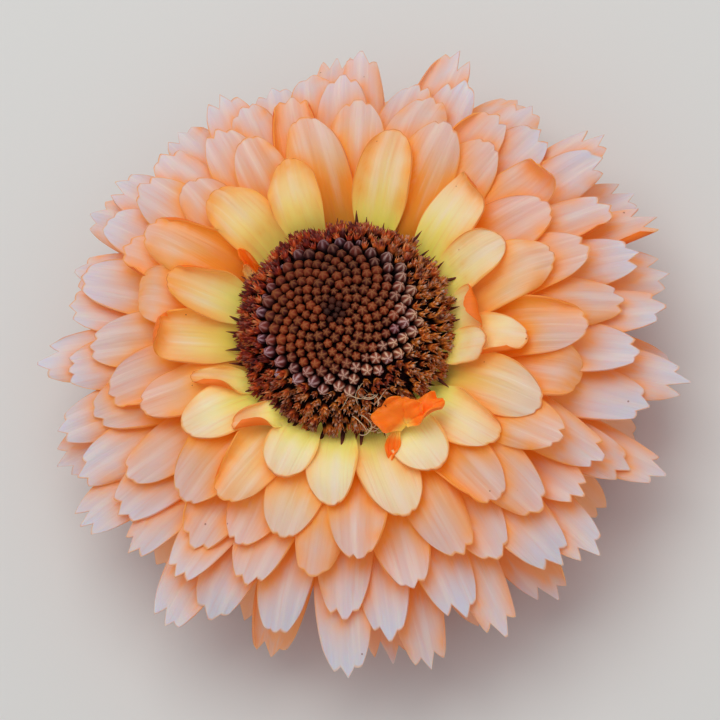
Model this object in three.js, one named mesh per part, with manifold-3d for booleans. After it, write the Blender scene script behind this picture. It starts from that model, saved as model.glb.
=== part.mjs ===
// The head of a double pot marigold, picked just under its bracts and resting face up on a surface.
// Millimetres, +Z up. The origin is the middle of the small flat scar where the stalk came off.
// From the bottom: the green base with its bracts, the strap-shaped petals (ray florets) in their
// layers, and the dark dome of disc florets. Petals and florets follow one golden-angle spiral.
import * as THREE from "three";
import { ConvexHull } from "three/addons/math/ConvexHull.js";
import { mergeVertices } from "three/addons/utils/BufferGeometryUtils.js";
import Module from "manifold-3d";

const wasm = await Module();
wasm.setup();

// ---- Driving dimensions ----
const GOLDEN_ANGLE = Math.PI * (3 - Math.sqrt(5));
const RIM_HEIGHT = 22.5; // the plane where the innermost petals leave the disc
const SEAT_GAP = 0.3; // clearance between neighbouring pieces

const SPREADING_PETALS = 107; // those that make the domed face, from the middle outwards
const HANGING_PETALS = 24; // the lowest ones, which droop towards the surface
const FOOT_PETALS = 5; // the last of those touch it
const FIRST_PETAL_ANGLE = 1.9;
const INNER_REACH = 21.3; // radius of the innermost petal tips
const OUTER_REACH = 41.9; // radius of the outermost petal tips
const HANGING_REACH = 34.5; // radius of the tips that touch the surface
const INNER_TIP = 2.2; // tip heights above the rim plane
const OUTER_TIP = -7.5;
const FOOT_TIP_HEIGHT = 0.4; // above the surface, before the tip is bent down to it
const INNER_TIP_SLOPE = 12; // degrees above the horizontal
const OUTER_TIP_SLOPE = -24;
const FOOT_TIP_SLOPE = -56;
const UPRIGHT_ANGLE = 1.75; // the inner petals stand up more on this side of the head
const UPRIGHT_RISE = 1.8;
const UPRIGHT_REACH = 1.2;
const INNER_ROOT_RADIUS = 10.8;
const OUTER_ROOT_RADIUS = 5.7;
const INNER_ROOT_DEPTH = 1.8; // below the rim plane
const OUTER_ROOT_DEPTH = 13.3;
const FOOT_ROOT_DEPTH = 14.2;
const PETAL_THICKNESS = 0.6;
const INNER_WIDTH = 6.2;
const OUTER_WIDTH = 7.4;
const PETAL_CHANNEL = 0.03; // how far the edges stand above the middle, as a share of the width

// Short curled petals, half rolled into quills, that stand against the edge of the disc.
const CURLED_PETALS = [
  { angle: 138, reach: 15.8, rise: 2.2, width: 2.4 },
  { angle: 9, reach: 17.0, rise: 2.9, width: 2.6 },
  { angle: -54, reach: 17.2, rise: 2.6, width: 4.4 },
  { angle: -142, reach: 18.2, rise: 2.2, width: 2.8 },
];
const CURL_CHANNEL = 0.24;

const CORE_TOP = RIM_HEIGHT - 0.6; // the packed floret bases that the petals grow from
const CORE_MARGIN = 1.1; // how deep the petal roots lie in it
const CORE_FLOOR = RIM_HEIGHT - FOOT_ROOT_DEPTH - 0.9;

const DISC_SEAT = CORE_TOP + SEAT_GAP;
const DISC_RADIUS = 12.2;
const DISC_FOOT_RADIUS = 10.6;
const DISC_FLARE = 1.3; // height over which the disc widens, above its seat
const DISC_RISE = 7.6; // from its widest part to its top
const DISC_FLORETS = 440;
const BUD_SHARE = 0.55; // florets that are still buds, counted from the middle
const BUD_RELIEF = 0.6;
const OPEN_RELIEF = 1.2;

const SCAR_RADIUS = 2.6; // the stalk where it was pinched off
const CUP_RADIUS = 8.6;
const CUP_TOP = CORE_FLOOR - SEAT_GAP;
const BRACTS_PER_ROW = 14;
const BRACT_ROOT_RADIUS = 6.4;
const BRACT_ROOT_HEIGHT = 4.6;
const BRACT_ROW_DROP = 1.1;
const BRACT_REACH = 15.5;
const BRACT_TIP_SLOPE = 8;
const BRACT_WIDTH = 2.6;
const BRACT_THICKNESS = 0.7;

// ---- Small helpers ----
const degrees = THREE.MathUtils.degToRad;
const mix = THREE.MathUtils.lerp;

// A repeatable draw from -0.5 to 0.5 for item number i, one sequence for each seed.
function draw(i, seed) {
  const x = (i + 1) ** 2 * Math.sqrt(seed + 1.5);
  return x - Math.floor(x) - 0.5;
}

function solidOf(positions, triangles) {
  return new wasm.Manifold(
    new wasm.Mesh({
      numProp: 3,
      vertProperties: new Float32Array(positions),
      triVerts: new Uint32Array(triangles),
    }),
  );
}

function turnedSolid(profile, sides) {
  const points = profile.map(([r, z]) => new THREE.Vector2(r, z));
  const geometry = new THREE.LatheGeometry(points, sides).rotateX(Math.PI / 2);
  geometry.deleteAttribute("normal");
  geometry.deleteAttribute("uv");
  const merged = mergeVertices(geometry, 1e-4);
  return solidOf(merged.attributes.position.array, merged.index.array);
}

function meshOf(solid, name, colour, roughness) {
  const { numProp, numVert, vertProperties, triVerts } = solid.getMesh();
  const positions = new Float32Array(numVert * 3);
  for (let v = 0; v < numVert; v++)
    positions.set(vertProperties.subarray(v * numProp, v * numProp + 3), v * 3);
  const geometry = new THREE.BufferGeometry();
  geometry.setAttribute("position", new THREE.BufferAttribute(positions, 3));
  geometry.setIndex(new THREE.BufferAttribute(triVerts, 1));
  geometry.computeVertexNormals();
  const finish = { color: colour, roughness, metalness: 0, flatShading: true };
  const mesh = new THREE.Mesh(geometry, new THREE.MeshStandardMaterial(finish));
  mesh.name = name;
  return mesh;
}

// ---- Blades: petals and bracts ----
// The midline is an arc from root to tip in a plane through the flower's axis. It reaches the tip
// at endSlope, so it leaves the root as far above the chord's slope as endSlope lies below it.
function arc(root, tip, endSlope) {
  const chord = Math.atan2(tip.z - root.z, tip.r - root.r);
  const startSlope = 2 * chord - endSlope;
  const radius = (tip.r - root.r) / (Math.sin(startSlope) - Math.sin(endSlope));
  return (share) => {
    const slope = mix(startSlope, endSlope, share);
    return {
      r: root.r + radius * (Math.sin(startSlope) - Math.sin(slope)),
      z: root.z + radius * (Math.cos(slope) - Math.cos(startSlope)),
      slope,
    };
  };
}

// rows are [share of length, share of half width] of straight cross rows of three points, and tip
// lists the outline points past the last row, [share of length, side], from one side to the other.
function blade({ angle, at, width, thickness, channel, roll, rows, tip }) {
  const outline = rows.flatMap(([share, half]) => [
    [share, -half],
    [share, 0],
    [share, half],
  ]);
  outline.push(...tip);
  const [outX, outY] = [Math.cos(angle), Math.sin(angle)];
  const face = (offset) =>
    outline.flatMap(([share, side]) => {
      const { r, z, slope } = at(share);
      const across = (side * width) / 2;
      const lift = channel * width * side * side + Math.tan(roll) * across;
      const out = r - offset * Math.sin(slope);
      return [
        out * outX - across * outY,
        out * outY + across * outX,
        z + lift + offset * Math.cos(slope),
      ];
    });
  const upper = [];
  for (let a = 0; a < (rows.length - 1) * 3; a++)
    if (a % 3 < 2) upper.push([a, a + 3, a + 4], [a, a + 4, a + 1]);
  const left = (rows.length - 1) * 3;
  const [middle, right, first] = [left + 1, left + 2, left + 3];
  if (tip.length === 1) upper.push([left, first, middle], [middle, first, right]);
  else
    upper.push(
      [left, first, first + 1],
      [left, first + 1, middle],
      [middle, first + 1, first + 3],
      [first + 1, first + 2, first + 3],
      [middle, first + 3, right],
      [right, first + 3, first + 4],
    );
  const rim = [
    ...rows.map((_, row) => row * 3),
    ...tip.map((_, k) => first + k),
    ...rows.map((_, row) => left + 2 - row * 3),
    1,
  ];
  const under = outline.length;
  const triangles = upper.flatMap(([a, b, c]) => [
    ...[a, b, c],
    ...[a + under, c + under, b + under],
  ]);
  rim.forEach((a, k) => {
    const b = rim[(k + 1) % rim.length];
    triangles.push(a, a + under, b + under, a, b + under, b);
  });
  return {
    positions: [...face(thickness / 2), ...face(-thickness / 2)],
    triangles,
  };
}

// ---- Petals ----
// Where petal number i grows from and where its tip lies. `spread` runs from 0 for the innermost
// to 1 for the outermost spreading petal, and `hang` from 0 to 1 over the drooping ones.
function petalPlace(i) {
  const hang = Math.max(0, (i - SPREADING_PETALS + 1) / HANGING_PETALS);
  const share = Math.min(1, i / (SPREADING_PETALS - 1));
  const angle = FIRST_PETAL_ANGLE + i * GOLDEN_ANGLE + degrees(5) * draw(i, 2);
  const upright = (1 - share) * Math.cos(angle - UPRIGHT_ANGLE);
  // The tips are spread over nearly equal areas of the head, a little closer towards its edge.
  const reach =
    Math.sqrt(mix(INNER_REACH ** 2, OUTER_REACH ** 2, share ** 0.88)) +
    (hang > 0 ? 1 : 2.4) * draw(i, 1) +
    UPRIGHT_REACH * upright +
    (HANGING_REACH - OUTER_REACH) * hang;
  const out = (reach - INNER_REACH) / (OUTER_REACH - INNER_REACH);
  const spread = hang > 0 ? 1 : THREE.MathUtils.clamp(out, 0, 1);
  const root = {
    r: mix(INNER_ROOT_RADIUS, OUTER_ROOT_RADIUS, share),
    z:
      RIM_HEIGHT -
      mix(INNER_ROOT_DEPTH, OUTER_ROOT_DEPTH, share) -
      (FOOT_ROOT_DEPTH - OUTER_ROOT_DEPTH) * hang,
  };
  const spreadTip = RIM_HEIGHT + mix(INNER_TIP, OUTER_TIP, spread ** 1.7);
  const tip = {
    r: reach,
    z: mix(spreadTip + UPRIGHT_RISE * upright, FOOT_TIP_HEIGHT, hang),
  };
  const spreadSlope = mix(INNER_TIP_SLOPE, OUTER_TIP_SLOPE, spread ** 0.7);
  const endSlope = degrees(mix(spreadSlope, FOOT_TIP_SLOPE, hang) + 5 * draw(i, 3));
  return { angle, root, tip, endSlope, spread, hang };
}

function petal(i) {
  const { angle, root, tip, endSlope, spread, hang } = petalPlace(i);
  const tooth = [mix(0.935, 0.965, spread), mix(0.76, 0.62, spread)];
  const notch = [mix(0.98, 0.945, spread), mix(0.4, 0.3, spread)];
  const made = blade({
    angle,
    at: arc(root, tip, endSlope),
    width: mix(INNER_WIDTH, OUTER_WIDTH, spread) * (1 + 0.12 * draw(i, 4)),
    thickness: PETAL_THICKNESS,
    channel: PETAL_CHANNEL,
    roll: degrees(4) * draw(i, 5),
    rows: [
      [0, 0.28],
      [0.42, 0.75],
      [0.8, 0.96],
    ],
    tip: [
      [tooth[0], -tooth[1]],
      [notch[0], -notch[1]],
      [1, 0],
      [notch[0], notch[1]],
      [tooth[0], tooth[1]],
    ],
  });
  if (hang > 1 - FOOT_PETALS / HANGING_PETALS) {
    // Its height above the root is scaled until its lowest corner lies on the surface.
    const lowest = Math.min(...made.positions.filter((_, k) => k % 3 === 2));
    const scale = root.z / (root.z - lowest);
    made.positions = made.positions.map((v, k) =>
      k % 3 === 2 ? root.z + (v - root.z) * scale : v,
    );
  }
  return solidOf(made.positions, made.triangles);
}

function curledPetal({ angle, reach, rise, width }) {
  const root = { r: INNER_ROOT_RADIUS, z: RIM_HEIGHT - INNER_ROOT_DEPTH };
  const made = blade({
    angle: degrees(angle),
    at: arc(root, { r: reach, z: RIM_HEIGHT + rise }, degrees(65)),
    width,
    thickness: PETAL_THICKNESS,
    channel: CURL_CHANNEL,
    roll: 0,
    rows: [
      [0, 0.5],
      [0.6, 1],
    ],
    tip: [
      [0.95, -0.7],
      [0.98, -0.3],
      [1, 0],
      [0.98, 0.3],
      [0.95, 0.7],
    ],
  });
  return solidOf(made.positions, made.triangles);
}

function petals() {
  const core = turnedSolid(
    [
      [0, CORE_FLOOR],
      [OUTER_ROOT_RADIUS + CORE_MARGIN, CORE_FLOOR],
      [INNER_ROOT_RADIUS + CORE_MARGIN, CORE_TOP - 0.6],
      [INNER_ROOT_RADIUS + CORE_MARGIN - 0.4, CORE_TOP],
      [0, CORE_TOP],
    ],
    20,
  );
  const count = SPREADING_PETALS + HANGING_PETALS;
  const blades = Array.from({ length: count }, (_, i) => petal(i));
  return wasm.Manifold.union([core, ...blades, ...CURLED_PETALS.map(curledPetal)]);
}

// ---- Disc florets ----
// The place of floret number k on the smooth dome, set out by the golden angle. The buds in the
// middle stand closest together, and the florets at the edge have the most room.
function floretPlace(k) {
  const height = DISC_RISE * (1 - (k + 0.5) / DISC_FLORETS) ** 0.75;
  const r = DISC_RADIUS * Math.sqrt(1 - (height / DISC_RISE) ** 2);
  const angle = k * GOLDEN_ANGLE;
  return new THREE.Vector3(
    r * Math.cos(angle),
    r * Math.sin(angle),
    DISC_SEAT + DISC_FLARE + height,
  );
}

function cornersOf(hullFace) {
  return [0, 1, 2].map((k) => hullFace.getEdge(k).head().point);
}

// The convex hull of the florets' places joins neighbours into triangles. The middle of each
// triangle becomes a valley, and each place is raised into the point of its floret.
function disc() {
  const centre = new THREE.Vector3(0, 0, DISC_SEAT + DISC_FLARE);
  const raised = new Map();
  for (let k = 0; k < DISC_FLORETS; k++) {
    const place = floretPlace(k);
    const open = (k / DISC_FLORETS - BUD_SHARE) / (1 - BUD_SHARE);
    const relief = mix(BUD_RELIEF, OPEN_RELIEF, Math.max(0, open));
    const outward = place.clone().sub(centre).normalize();
    raised.set(place, place.clone().addScaledVector(outward, relief));
  }
  const footSides = 40;
  const foot = Array.from({ length: footSides }, (_, k) => {
    const place = new THREE.Vector3(DISC_FOOT_RADIUS, 0, DISC_SEAT);
    return place.applyAxisAngle(new THREE.Vector3(0, 0, 1), (k / footSides) * 2 * Math.PI);
  });
  const hull = new ConvexHull().setFromPoints([...raised.keys(), ...foot]);

  const positions = [];
  const numbers = new Map();
  const numberOf = (key, place) => {
    if (!numbers.has(key)) {
      numbers.set(key, positions.length / 3);
      positions.push(place.x, place.y, place.z);
    }
    return numbers.get(key);
  };
  const cornerNumber = (point) => numberOf(point, raised.get(point) ?? point);
  const hasValley = (hullFace) => cornersOf(hullFace).every((point) => raised.has(point));
  const valleyNumber = (hullFace) => {
    const middle = new THREE.Vector3();
    cornersOf(hullFace).forEach((point) => middle.addScaledVector(point, 1 / 3));
    return numberOf(hullFace, middle);
  };

  const triangles = [];
  for (const hullFace of hull.faces) {
    if (!hasValley(hullFace)) {
      triangles.push(...cornersOf(hullFace).map(cornerNumber));
      continue;
    }
    for (let k = 0; k < 3; k++) {
      const edge = hullFace.getEdge(k);
      const beyond = edge.twin.face;
      const from = cornerNumber(edge.tail().point);
      const next = hasValley(beyond) ? valleyNumber(beyond) : cornerNumber(edge.head().point);
      triangles.push(from, next, valleyNumber(hullFace));
    }
  }
  return solidOf(positions, triangles);
}

// ---- Green base: scar, cup and bracts ----
function bract(row, k) {
  const number = row * BRACTS_PER_ROW + k;
  const angle = ((k + row / 2) / BRACTS_PER_ROW) * 2 * Math.PI;
  const root = { r: BRACT_ROOT_RADIUS, z: BRACT_ROOT_HEIGHT - BRACT_ROW_DROP * row };
  const tip = {
    r: BRACT_REACH + 1.2 * draw(number, 6) - 1.2 * row,
    z: CUP_TOP - 0.3 - 1.5 * BRACT_ROW_DROP * row,
  };
  const made = blade({
    angle: angle + degrees(4) * draw(number, 7),
    at: arc(root, tip, degrees(BRACT_TIP_SLOPE)),
    width: BRACT_WIDTH,
    thickness: BRACT_THICKNESS,
    channel: -0.05,
    roll: 0,
    rows: [
      [0, 0.9],
      [0.35, 1],
      [0.7, 0.66],
    ],
    tip: [[1, 0]],
  });
  return solidOf(made.positions, made.triangles);
}

function greenBase() {
  const cup = turnedSolid(
    [
      [0, 0],
      [SCAR_RADIUS, 0],
      [SCAR_RADIUS + 0.2, 1.2],
      [0.6 * CUP_RADIUS, 2.6],
      [CUP_RADIUS - 1, 4.4],
      [CUP_RADIUS, CUP_TOP - 0.9],
      [CUP_RADIUS - 1, CUP_TOP],
      [0, CUP_TOP],
    ],
    28,
  );
  const bracts = [0, 1].flatMap((row) =>
    Array.from({ length: BRACTS_PER_ROW }, (_, k) => bract(row, k)),
  );
  return wasm.Manifold.union([cup, ...bracts]);
}

// ---- The flower head ----
const head = new THREE.Group();
head.name = "marigold_head";
head.add(meshOf(greenBase(), "green_base", 0x5f7f3a, 0.7));
head.add(meshOf(petals(), "petals", 0xf6b98c, 0.6));
head.add(meshOf(disc(), "disc_florets", 0x5a2418, 0.75));

export default head;
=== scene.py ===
# %% [markdown]
# # The head of a double pot marigold
# This lesson dresses a plain solid model of a flower head in its looks. The real thing has three
# kinds of part: strap-shaped petals in many layers, a dark dome of tiny florets in the middle, and
# a green base of narrow bracts. The solid model gives their places and sizes, and this script makes
# the thin curved petals, the buds and the hairs that solids of a few faces can't show.

# %% Load the solid model
import math

import bpy
import numpy as np
from mathutils import Matrix, Vector


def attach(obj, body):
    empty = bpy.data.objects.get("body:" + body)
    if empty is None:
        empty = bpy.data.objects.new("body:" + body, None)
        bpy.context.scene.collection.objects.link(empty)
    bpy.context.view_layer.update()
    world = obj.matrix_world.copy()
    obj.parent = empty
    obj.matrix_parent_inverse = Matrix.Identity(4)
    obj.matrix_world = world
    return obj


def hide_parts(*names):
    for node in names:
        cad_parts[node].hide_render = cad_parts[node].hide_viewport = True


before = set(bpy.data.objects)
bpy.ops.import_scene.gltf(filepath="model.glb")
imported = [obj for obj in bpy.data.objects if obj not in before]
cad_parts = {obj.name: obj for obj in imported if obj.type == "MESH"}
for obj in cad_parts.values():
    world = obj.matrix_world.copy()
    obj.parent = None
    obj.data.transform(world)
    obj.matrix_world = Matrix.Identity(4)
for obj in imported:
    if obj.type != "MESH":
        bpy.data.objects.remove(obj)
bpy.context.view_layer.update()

MM = 0.001

# %% [markdown]
# ## The spiral that everything follows
# A flower head places each new petal and floret a golden angle (about 137.5 degrees) on from the
# last, so that no two lie straight above each other. The same rule and the same draws made the
# solids, so each fine petal comes out close to its solid. A draw is a repeatable number between
# -0.5 and 0.5, which makes one petal differ a little from the next.

# %% Driving dimensions, in millimetres
GOLDEN_ANGLE = math.pi * (3 - math.sqrt(5))
RIM_HEIGHT = 22.5
SPREADING_PETALS = 107
HANGING_PETALS = 24
FIRST_PETAL_ANGLE = 1.9
INNER_REACH = 21.3
OUTER_REACH = 41.9
HANGING_REACH = 34.5
INNER_TIP = 2.2
OUTER_TIP = -7.5
FOOT_TIP_HEIGHT = 0.4
INNER_TIP_SLOPE = 12
OUTER_TIP_SLOPE = -24
FOOT_TIP_SLOPE = -56
UPRIGHT_ANGLE = 1.75
UPRIGHT_RISE = 1.8
UPRIGHT_REACH = 1.2
INNER_ROOT_RADIUS = 10.8
OUTER_ROOT_RADIUS = 5.7
INNER_ROOT_DEPTH = 1.8
OUTER_ROOT_DEPTH = 13.3
FOOT_ROOT_DEPTH = 14.2
INNER_WIDTH = 6.2
OUTER_WIDTH = 7.4
DISC_RADIUS = 12.2
DISC_RISE = 7.6
DISC_WAIST = RIM_HEIGHT + 1.0  # height of the disc's widest part
ANGLE_SCATTER = 5  # of the angle round the axis in degrees, as are the next two
SLOPE_SCATTER = 5
ROLL_SCATTER = 4
REACH_SCATTER = 2.4
HANGING_SCATTER = 1
WIDTH_SCATTER = 0.12  # a share of the width

PETAL_COUNT = SPREADING_PETALS + HANGING_PETALS
print(PETAL_COUNT, "petals between", INNER_REACH, "and", OUTER_REACH, "mm from the axis")


# %% Helpers for numbers
def draw(i, seed):
    """A repeatable draw from -0.5 to 0.5 for item i, one sequence for each seed."""
    x = (i + 1) ** 2 * math.sqrt(seed + 1.5)
    return x - math.floor(x) - 0.5


def mix(a, b, share):
    return a + (b - a) * share


def smooth(low, high, x):
    """0 below low, 1 above high, with a soft step between."""
    t = np.clip((np.asarray(x, float) - low) / (high - low), 0, 1)
    return t * t * (3 - 2 * t)


print("first draws:", [round(draw(i, 1), 3) for i in range(4)])


# %% Where each petal grows and ends
def petal_place(i):
    if i >= PETAL_COUNT:
        return CURLED[i - PETAL_COUNT]
    hang = max(0, (i - SPREADING_PETALS + 1) / HANGING_PETALS)
    share = min(1, i / (SPREADING_PETALS - 1))
    angle = FIRST_PETAL_ANGLE + i * GOLDEN_ANGLE + math.radians(ANGLE_SCATTER) * draw(i, 2)
    upright = (1 - share) * math.cos(angle - UPRIGHT_ANGLE)
    reach = (
        math.sqrt(mix(INNER_REACH**2, OUTER_REACH**2, share**0.88))
        + (HANGING_SCATTER if hang > 0 else REACH_SCATTER) * draw(i, 1)
        + UPRIGHT_REACH * upright
        + (HANGING_REACH - OUTER_REACH) * hang
    )
    out = (reach - INNER_REACH) / (OUTER_REACH - INNER_REACH)
    spread = 1 if hang > 0 else min(1, max(0, out))
    root_depth = mix(INNER_ROOT_DEPTH, OUTER_ROOT_DEPTH, share)
    root_r = mix(INNER_ROOT_RADIUS, OUTER_ROOT_RADIUS, share)
    root_z = RIM_HEIGHT - root_depth - (FOOT_ROOT_DEPTH - OUTER_ROOT_DEPTH) * hang
    spread_tip = RIM_HEIGHT + mix(INNER_TIP, OUTER_TIP, spread**1.7)
    tip_z = mix(spread_tip + UPRIGHT_RISE * upright, FOOT_TIP_HEIGHT, hang)
    spread_slope = mix(INNER_TIP_SLOPE, OUTER_TIP_SLOPE, spread**0.7)
    end_slope = mix(spread_slope, FOOT_TIP_SLOPE, hang) + SLOPE_SCATTER * draw(i, 3)
    return dict(
        angle=angle,
        heading=angle,
        root=(root_r, root_z),
        tip=(reach, tip_z),
        end_slope=math.radians(end_slope),
        spread=spread,
        hang=hang,
        width=mix(INNER_WIDTH, OUTER_WIDTH, spread) * (1 + WIDTH_SCATTER * draw(i, 4)),
        roll=math.radians(ROLL_SCATTER) * draw(i, 5),
        ring=spread + 0.4 * hang,
    )


def curled(angle, heading, root, tip, end_slope, width, ring):
    """The place of a small curled petal: angles in degrees, root and tip as (way out, height)."""
    turned_by, heading_by, slope = (math.radians(d) for d in (angle, heading, end_slope))
    place = dict(angle=turned_by, heading=heading_by, root=root, tip=tip, end_slope=slope)
    return dict(place, spread=0.0, hang=0, width=width, roll=0, ring=ring)


def arc(root, tip, end_slope):
    """Radius, height and slope along an arc from root to tip that ends at end_slope."""
    chord = math.atan2(tip[1] - root[1], tip[0] - root[0])
    start_slope = 2 * chord - end_slope
    radius = (tip[0] - root[0]) / (math.sin(start_slope) - math.sin(end_slope))

    def at(share):
        slope = mix(start_slope, end_slope, share)
        r = root[0] + radius * (math.sin(start_slope) - np.sin(slope))
        z = root[1] + radius * (np.cos(slope) - math.cos(start_slope))
        return r, z, slope

    return at, abs(radius * (start_slope - end_slope))


def bent(at, length, bend, start):
    """The arc with an extra bend, in radians, that grows from the share `start` to the tip."""
    steps = 240
    fine = np.linspace(0, 1, steps + 1)
    slope = at(fine)[2] + bend * smooth(start, 1.04, fine)
    between = (slope[1:] + slope[:-1]) / 2
    first_r, first_z, _ = at(0)
    r = first_r + np.concatenate([[0], np.cumsum(np.cos(between))]) * length / steps
    z = first_z + np.concatenate([[0], np.cumsum(np.sin(between))]) * length / steps

    def bent_at(share):
        return np.interp(share, fine, r), np.interp(share, fine, z), np.interp(share, fine, slope)

    return bent_at


def beside_arc(at, share, across, lift, angle, heading, foot):
    """Places in mm beside and above an arc that starts `foot` from the axis at an angle."""
    r, z, slope = at(share)
    out = r - lift * np.sin(slope) - foot
    height = z + lift * np.cos(slope)
    cos, sin = math.cos(heading), math.sin(heading)
    x = foot * math.cos(angle) + out * cos - across * sin
    y = foot * math.sin(angle) + out * sin + across * cos
    return np.stack([x, y, height], axis=-1)


print("petal 0 grows at", petal_place(0)["root"], "and ends at", petal_place(0)["tip"])

# %% [markdown]
# A few florets at the disc's edge went their own way: short petals, one of them with a rolled tip,
# two that lie sideways with rolled edges, an orange quill, and one crumpled floret that is orange
# all over and is made of five pieces. Each is a petal as well, with its own heading, so the same
# blank and the same formulas make them.

# %% The curled petals
ORANGE = -1.0  # stands in for the ring where a petal is orange all over
CURLED = [
    curled(6, 4, (10.8, 20.9), (18.6, 24.8), 34, 5.6, 0.0),
    curled(-14, -12, (10.8, 20.8), (18.0, 23.4), 12, 4.6, 0.0),
    curled(212, 184, (11.6, 21.3), (20.6, 25.6), 20, 3.4, 0.0),
    curled(240, 183, (12.2, 21.6), (19.6, 25.2), 16, 3.8, 0.0),
    curled(148, 92, (13.0, 22.6), (16.4, 26.6), 64, 1.8, ORANGE),
    curled(150, 140, (11.6, 21.6), (15.2, 24.4), 50, 1.2, 0.0),
    curled(-60, -60, (11.2, 21.8), (15.0, 25.6), 30, 1.0, ORANGE),
    curled(-59, 138, (15.0, 25.5), (18.4, 27.2), -20, 5.2, ORANGE),
    curled(-59, 76, (15.0, 25.9), (17.5, 27.9), 20, 3.4, ORANGE),
    curled(-59, 18, (14.8, 25.6), (20.0, 26.9), -30, 3.0, ORANGE),
    curled(-64, -106, (14.8, 25.4), (19.4, 23.6), -40, 1.8, ORANGE),
]
print(len(CURLED), "curled petals")

# %% [markdown]
# ## The camera
# The flower was looked at from about 20 degrees off its axis, so the camera stands high, leans to
# one side, and its own upright follows the head's +Y. A long lens keeps the petals' sizes even.

# %% Camera
CAMERA_AZIMUTH = math.radians(28)
CAMERA_HEIGHT = math.radians(70)
CAMERA_DISTANCE = 350
CAMERA_LENS = 142
SENSOR_WIDTH = 36
NEAREST_SEEN = 0.01  # in metres
AIM_HEIGHT = 19
AIM_SHIFT = (0.9, -2.3)  # of the aim from the axis, to the right and up in the picture

back = Vector(
    (
        math.sin(CAMERA_AZIMUTH) * math.cos(CAMERA_HEIGHT),
        -math.cos(CAMERA_AZIMUTH) * math.cos(CAMERA_HEIGHT),
        math.sin(CAMERA_HEIGHT),
    )
)
right = Vector((0, 1, 0)).cross(back).normalized()
up = back.cross(right)
aim = Vector((0, 0, AIM_HEIGHT)) + right * AIM_SHIFT[0] + up * AIM_SHIFT[1]
bpy.ops.object.camera_add()
camera = bpy.context.object
camera.data.sensor_width = SENSOR_WIDTH
camera.data.lens = CAMERA_LENS
camera.data.clip_start = NEAREST_SEEN
camera.matrix_world = Matrix((right, up, back)).transposed().to_4x4()
camera.location = (aim + back * CAMERA_DISTANCE) * MM
bpy.context.scene.camera = camera
print("camera", [round(c, 3) for c in camera.location])

# %% [markdown]
# ## Petals
# A ray floret's petal is one thin strap, about a fifth of a millimetre thick: narrow at its root,
# widest past its middle and nicked at its tip. It could be sculpted one by one, but 131 of them
# share one form. So one flat grid is the blank, and a formula bends each copy: along its midline by
# the arc that the solid follows, and across by an angle that changes from edge to edge, which lets
# an edge roll over as the real ones do.

# %% The flat blank
ALONG = 36
ACROSS = 24


def corners(piece):
    return np.array([corner.co[:] for corner in piece.data.vertices])


def flat_grid(across, along):
    """A flat grid from -1 to 1 each way, and its corners' places."""
    bpy.ops.object.select_all(action="DESELECT")
    bpy.ops.mesh.primitive_grid_add(x_subdivisions=across, y_subdivisions=along, size=2)
    return bpy.context.object, corners(bpy.context.object)


blank, flat = flat_grid(ACROSS, ALONG)
blank_row = np.rint((flat[:, 1] + 1) / 2 * ALONG).astype(int)
blank_column = np.rint((1 - flat[:, 0]) / 2 * ACROSS).astype(int)
pick = (blank_row, blank_column)  # takes the blank's corners from a table of rows and columns
print("blank:", len(flat), "corners,", len(blank.data.polygons), "faces")

# %% The outline of a petal
WIDEST = 0.62  # share of the length

u = np.linspace(0, 1, ALONG + 1)[:, None]
v = np.linspace(-1, 1, ACROSS + 1)[None, :]


def outline(i, spread):
    """Share of the length and of the half width at each corner of the grid."""
    corner = mix(0.15, 0.09, spread)
    ends = 1 - corner * np.abs(v) ** mix(2.4, 2.8, spread)
    for side, seed in ((-1, 10), (1, 11)):
        middle = round((side * 0.35 + 0.2 * draw(i, seed)) * ACROSS / 2) / (ACROSS / 2)
        depth = mix(0.010, 0.056, spread**1.7) * (1 + 1.1 * draw(i, seed + 2))
        columns = 2 if spread < 0.45 else 3 if spread < 0.7 else 4
        half = columns * 2 / ACROSS
        ends = ends - depth * np.clip(1 - np.abs(v - middle) / half, 0, 1)
    share = u * ends
    foot = mix(0.40, 0.28, spread)
    growing = foot + (1 - foot) * np.sin(math.pi / 2 * np.clip(share / WIDEST, 0, 1)) ** 1.5
    past = np.clip((share - WIDEST) / (1 - WIDEST), 0, 1)
    tapering = np.sqrt(1 - mix(0.55, 0.62, spread) * past**2.6)
    return share, growing * tapering, ends


print("half width at the tip of petal 0:", round(float(outline(0, 0)[1][-1, ACROSS // 2]), 2))


# %% Bending one petal
FIRST_CRUMPLED = PETAL_COUNT + 7
ROLLED_TIPS = {  # petal: bend in radians, and the share of the length where it starts
    11: (2.7, 0.72),
    10: (2.3, 0.78),
    44: (2.2, 0.75),
    24: (-1.1, 0.6),
    41: (-1.0, 0.6),
    PETAL_COUNT: (2.9, 0.58),
    PETAL_COUNT + 1: (0.3, 0.6),
}
# Edges are (petal, side): how far it curls, in radians. Those of curled petals give both sides.
ROLLED_EDGES = {(16, -1): 1.9, (37, 1): 1.9, (28, 1): 1.9, (57, -1): 2.0, (91, -1): 2.4}
CURLED_EDGES = {2: (0.9, 2.5), 3: (0.8, 2.6), 4: (1.6, 1.2), 6: (2.4, 2.4), 10: (2.4, 2.4)}
for number, curls in CURLED_EDGES.items():
    for side, curl in zip((-1, 1), curls):
        ROLLED_EDGES[PETAL_COUNT + number, side] = curl
ROLLED_EDGES[PETAL_COUNT + 7, 1] = 0.9
ROLLED_EDGES[PETAL_COUNT + 9, -1] = 1.4


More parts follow.
